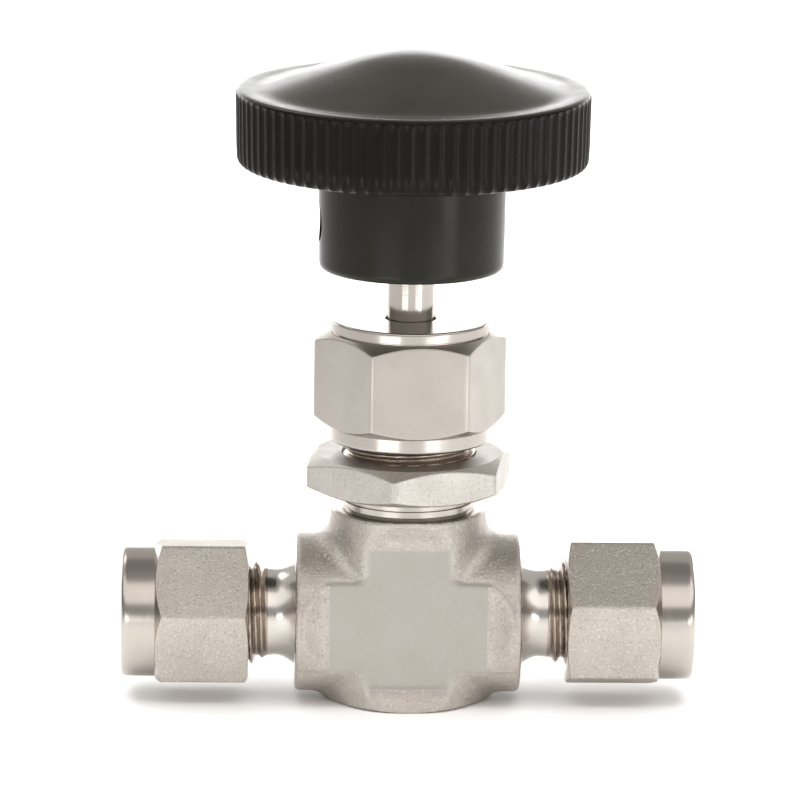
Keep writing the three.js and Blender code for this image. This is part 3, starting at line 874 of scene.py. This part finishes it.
VIEW_ELEVATION = math.radians(12.7)
VIEW_TURN = math.radians(1.6)
VIEW_ROLL = math.radians(0.75)
VIEW_DISTANCE = 0.800
PIXELS_PER_MM = 9.6
IMAGE_SIDE = 800
SENSOR_WIDTH = 36
VIEW_TARGET = Vector((-1.0 * MM, 0, 22.74 * MM))


def add_camera():
    turn_back = Matrix.Rotation(-VIEW_TURN, 3, "Z")
    back = turn_back @ Vector((0, -math.cos(VIEW_ELEVATION), math.sin(VIEW_ELEVATION)))
    right = turn_back @ Vector((1, 0, 0))
    up = back.cross(right)
    right, up = (math.cos(VIEW_ROLL) * right + math.sin(VIEW_ROLL) * up,
                 math.cos(VIEW_ROLL) * up - math.sin(VIEW_ROLL) * right)
    data = bpy.data.cameras.new("camera")
    data.sensor_width = SENSOR_WIDTH
    data.lens = SENSOR_WIDTH * PIXELS_PER_MM * VIEW_DISTANCE / MM / IMAGE_SIDE
    data.clip_start = 0.01
    data.clip_end = 50
    camera = bpy.data.objects.new("camera", data)
    place = turn_back @ VIEW_TARGET + CENTRE + back * VIEW_DISTANCE
    camera.matrix_world = Matrix.Translation(place) @ Matrix((right, up, back)).transposed().to_4x4()
    bpy.context.scene.collection.objects.link(camera)
    bpy.context.scene.camera = camera


def add_panel(name, place, aim, width, height, radiance, mirrored=True):
    """A soft light: a rectangle of even brightness that faces the aim and doesn't show to the camera."""
    data = bpy.data.lights.new(name, "AREA")
    data.shape = "RECTANGLE"
    data.size = width
    data.size_y = height
    data.energy = radiance * math.pi * width * height
    lamp = bpy.data.objects.new(name, data)
    direction = Vector(aim) - Vector(place)
    lamp.matrix_world = Matrix.Translation(place) @ direction.to_track_quat("-Z", "Y").to_matrix().to_4x4()
    lamp.visible_camera = False
    lamp.visible_glossy = mirrored
    bpy.context.scene.collection.objects.link(lamp)


# Greys of the floor, darker away from the valve as painted shade, and strengths of the world behind the
# lights
PAPER_NEAR = 0.90
PAPER_PAINTED_SHADE_FRONT = 0.64
PAPER_PAINTED_SHADE_LEFT = 0.5
PAPER_PAINTED_SHADE_RIGHT = 0.7
WINDOW_STRENGTH = 1.42
DARK_BAND_STRENGTH = 0.38
BACK_STRENGTH = 0.6


def grey(level):
    return (level, level, level, 1)


def add_floor():
    """White paper round the valve, greyer in front and at the sides as painted shade, where upright faces
    mirror it.
    """
    m = new_material("floor_paper")
    across, depth, _ = m.axis_parts()
    colour = m.mix(m.ramp(depth, -0.025, -0.07), grey(PAPER_NEAR), grey(PAPER_PAINTED_SHADE_FRONT))
    colour = m.mix(m.ramp(across, -0.06, -0.13), colour, grey(PAPER_PAINTED_SHADE_LEFT))
    colour = m.mix(m.ramp(across, 0.06, 0.13), colour, grey(PAPER_PAINTED_SHADE_RIGHT))
    material = m.finish(Base_Color=colour, Roughness=0.6)
    side = 12.0
    corners = [(-side, -side, 0), (side, -side, 0), (side, side, 0), (-side, side, 0)]
    mesh = bpy.data.meshes.new("floor")
    mesh.from_pydata(corners, [], [(0, 1, 2, 3)])
    mesh.materials.append(material)
    floor = bpy.data.objects.new("floor", mesh)
    bpy.context.scene.collection.objects.link(floor)


def add_world():
    """A studio with a wide bright window band in front, a dark band below it and grey elsewhere."""
    world = bpy.data.worlds.new("studio")
    m = Nodes(world, "Generated")
    across, depth, height = m.axis_parts()
    above_dark_band = m.ramp(height, 0.36, 0.48)
    below_ceiling = m.ramp(height, 0.86, 0.93, 1, 0)
    window = m.math("MULTIPLY", above_dark_band, below_ceiling)
    front = m.ramp(window, 0, 1, DARK_BAND_STRENGTH, WINDOW_STRENGTH)
    front = m.math("MULTIPLY", front, m.ramp(across, -0.8, 0.8, 0.88, 1.12))
    back_low = m.ramp(height, 0.2, 0.35, 0.2, BACK_STRENGTH)
    back_high = m.ramp(height, 0.86, 0.93, BACK_STRENGTH, 0.3)
    back = m.math("MINIMUM", back_low, back_high)
    strength = m.mix(m.ramp(depth, -0.12, 0), front, back)
    background = m.tree.nodes["Background"]
    background.inputs["Color"].default_value = (1.0, 0.975, 0.95, 1)
    m.feed(background, "Strength", strength)
    bpy.context.scene.world = world


def add_lights():
    """Two washes for the floor, large panels behind, and low strips that draw the upright highlights."""
    add_panel("floor_wash", (0, 0, 2.0), (0, 0, 0), width=2.5, height=2.5, radiance=2.95, mirrored=False)
    add_panel("back_floor_wash", (0, 0.7, 0.6), (0, 0.5, 0), width=1.0, height=0.6, radiance=1.0,
              mirrored=False)
    add_panel("back_panel", (0, 1.0, 0.185), (0, 0, 0.185), width=2.4, height=0.37, radiance=2.6)
    add_panel("left_top_panel", (-0.52, 0.65, 1.0), (0, 0, 0.03), width=0.45, height=0.45, radiance=1.8)
    add_panel("left_strip", (-0.058, -0.099, 0.010), (0, 0, 0.010), width=0.06, height=0.018, radiance=2.4)
    add_panel("right_strip", (0.058, -0.099, 0.010), (0, 0, 0.010), width=0.04, height=0.018, radiance=1.8)
    add_panel("hub_strip", (0.12, -0.12, 0.017), (0, 0, 0.017), width=0.05, height=0.022, radiance=2.6)


def set_view():
    """Plain colours, with nothing added on the way to the picture."""
    settings = bpy.context.scene.view_settings
    settings.view_transform = "Standard"
    settings.look = "None"
    settings.exposure = 0
    settings.gamma = 1


# ---- Assembly ---------------------------------------------------------------------------------

add_camera()
add_floor()
add_world()
add_lights()
set_view()

make_body()
make_panel_nut()
make_packing_nut()
make_stem()
make_handle()
make_set_screw()
for prefix, side, lift in (("inlet", -1, INLET_NUT_LIFT), ("outlet", 1, OUTLET_NUT_LIFT)):
    make_tube_nut(prefix + "_nut", side, lift)
    make_ferrules(prefix, side)
dress_inner_nodes()
